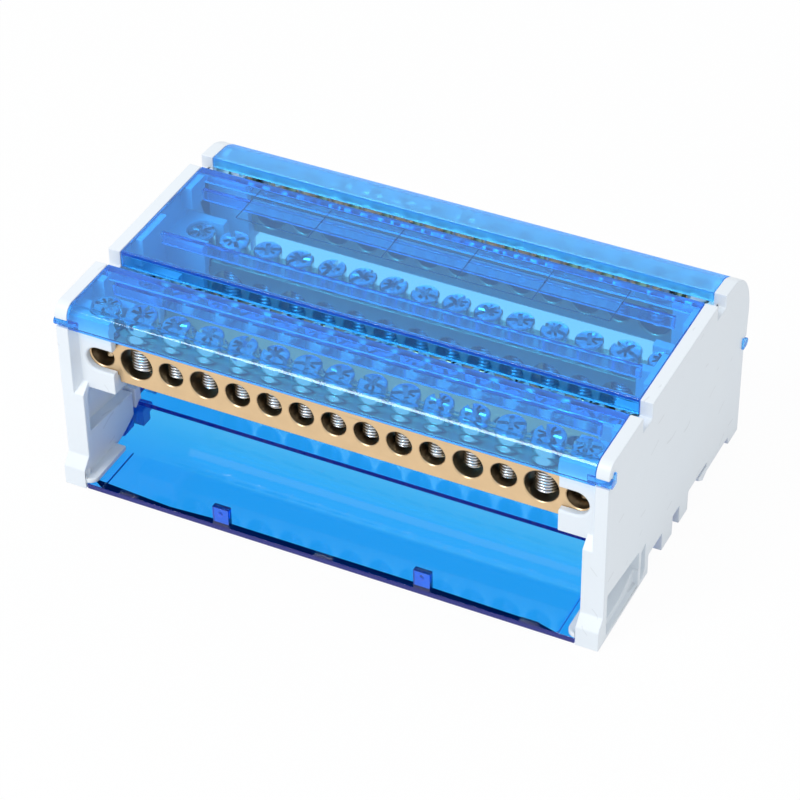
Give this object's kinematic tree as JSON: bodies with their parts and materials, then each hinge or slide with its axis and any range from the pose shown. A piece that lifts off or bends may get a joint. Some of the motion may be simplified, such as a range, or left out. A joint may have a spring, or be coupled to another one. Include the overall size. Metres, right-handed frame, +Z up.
{
  "type": "distribution terminal block",
  "caption": "Modular distribution block with drilled brass bars between moulded end plates, clear hinged covers and a clear base tray, for a mounting rail.",
  "frame": {"origin": "middle of the footprint, on the surface that the feet stand on", "axes": "+X along the bars, +Y from the front face to the rear, +Z up through the covers"},
  "size_m": [0.134, 0.0859, 0.0494],
  "materials": {
    "white_plastic": "satin moulded plastic, cool white",
    "blue_plastic": "clear blue polycarbonate, polished",
    "brass": "bright drawn brass with drilled holes",
    "zinc": "zinc-plated steel"
  },
  "bodies": {
    "block": {"left_end_plate": "white_plastic", "right_end_plate": "white_plastic", "base_tray": "blue_plastic", "front_outer_bar": "brass", "front_outer_clamp_screws": "zinc", "front_outer_large_screws": "zinc", "front_outer_end_screws": "zinc", "front_inner_bar": "brass", "front_inner_clamp_screws": "zinc", "front_inner_large_screws": "zinc", "front_inner_end_screws": "zinc", "rear_inner_bar": "brass", "rear_inner_clamp_screws": "zinc", "rear_inner_large_screws": "zinc", "rear_inner_end_screws": "zinc", "rear_outer_bar": "brass", "rear_outer_clamp_screws": "zinc", "rear_outer_large_screws": "zinc", "rear_outer_end_screws": "zinc"},
    "front_lid": {"front_cover": "blue_plastic"},
    "middle_lid": {"middle_cover": "blue_plastic"},
    "rear_lid": {"rear_cover": "blue_plastic"}
  },
  "joints": [
    {"name": "front_cover_hinge", "type": "hinge", "parent": "block", "child": "front_lid", "pos_m": [0, -0.0395, 0.0446], "axis": [1, 0, 0], "range_deg": [0, 120]},
    {"name": "middle_cover_lift", "type": "slide", "parent": "block", "child": "middle_lid", "axis": [0, 0, 1], "range_m": [0, 0.03]},
    {"name": "rear_cover_hinge", "type": "hinge", "parent": "block", "child": "rear_lid", "pos_m": [0, 0.0415, 0.0257], "axis": [-1, 0, 0], "range_deg": [0, 110]}
  ]
}
